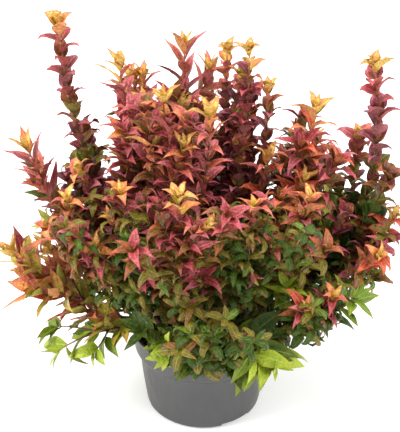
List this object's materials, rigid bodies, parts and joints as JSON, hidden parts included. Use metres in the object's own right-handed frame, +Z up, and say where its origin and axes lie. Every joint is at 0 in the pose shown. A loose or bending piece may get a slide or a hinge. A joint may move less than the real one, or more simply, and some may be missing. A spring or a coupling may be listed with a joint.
{
  "type": "potted coast leucothoe",
  "caption": "Many-stemmed evergreen shrub with curled red, gold and green leaves, fanning out of a round plastic nursery pot that stands on the ground.",
  "frame": {"origin": "centre of the pot's flat underside, where it stands on the ground", "axes": "+Z up, -Y to the front of the plant as pictured, +X to its right"},
  "size_m": [0.6102, 0.5333, 0.6414],
  "materials": {
    "pot": "satin dark grey injection-moulded plastic",
    "soil": "dark crumbly peat and bark potting soil",
    "bark": "thin smooth red-brown bark with fine ridges",
    "foliage": "glossy leathery leaves, red and gold above and green below"
  },
  "bodies": {
    "root": {"pot": "pot", "potting_soil": "soil", "cane_left_whip": "bark", "cane_centre_whip": "bark", "cane_right_whip": "bark", "cane_crown_left": "bark", "cane_crown_right": "bark", "cane_crown_edge": "bark", "cane_left_shoulder": "bark", "cane_right_shoulder": "bark", "cane_left_flank": "bark", "cane_heart": "bark", "cane_front_leader": "bark", "cane_front_right": "bark", "cane_front_left": "bark", "cane_left_front_flank": "bark", "cane_right_front_flank": "bark", "cane_right_edge": "bark", "cane_left_edge": "bark", "cane_right_skirt": "bark", "cane_front_skirt": "bark", "cane_left_spray": "bark", "cane_rim_spray_left": "bark", "cane_rim_spray_right": "bark", "cane_back_shoulder_1": "bark", "cane_back_shoulder_2": "bark", "cane_back_shoulder_3": "bark", "cane_back_skirt_1": "bark", "cane_back_skirt_2": "bark", "cane_back_skirt_3": "bark", "cane_back_skirt_4": "bark", "foliage_left_whip": "foliage", "foliage_centre_whip": "foliage", "foliage_right_whip": "foliage", "foliage_crown_left": "foliage", "foliage_crown_right": "foliage", "foliage_crown_edge": "foliage", "foliage_left_shoulder": "foliage", "foliage_right_shoulder": "foliage", "foliage_left_flank": "foliage", "foliage_heart": "foliage", "foliage_front_leader": "foliage", "foliage_front_right": "foliage", "foliage_front_left": "foliage", "foliage_left_front_flank": "foliage", "foliage_right_front_flank": "foliage", "foliage_right_edge": "foliage", "foliage_left_edge": "foliage", "foliage_right_skirt": "foliage", "foliage_front_skirt": "foliage", "foliage_left_spray": "foliage", "foliage_rim_spray_left": "foliage", "foliage_rim_spray_right": "foliage", "foliage_back_shoulder_1": "foliage", "foliage_back_shoulder_2": "foliage", "foliage_back_shoulder_3": "foliage", "foliage_back_skirt_1": "foliage", "foliage_back_skirt_2": "foliage", "foliage_back_skirt_3": "foliage", "foliage_back_skirt_4": "foliage"}
  },
  "joints": []
}
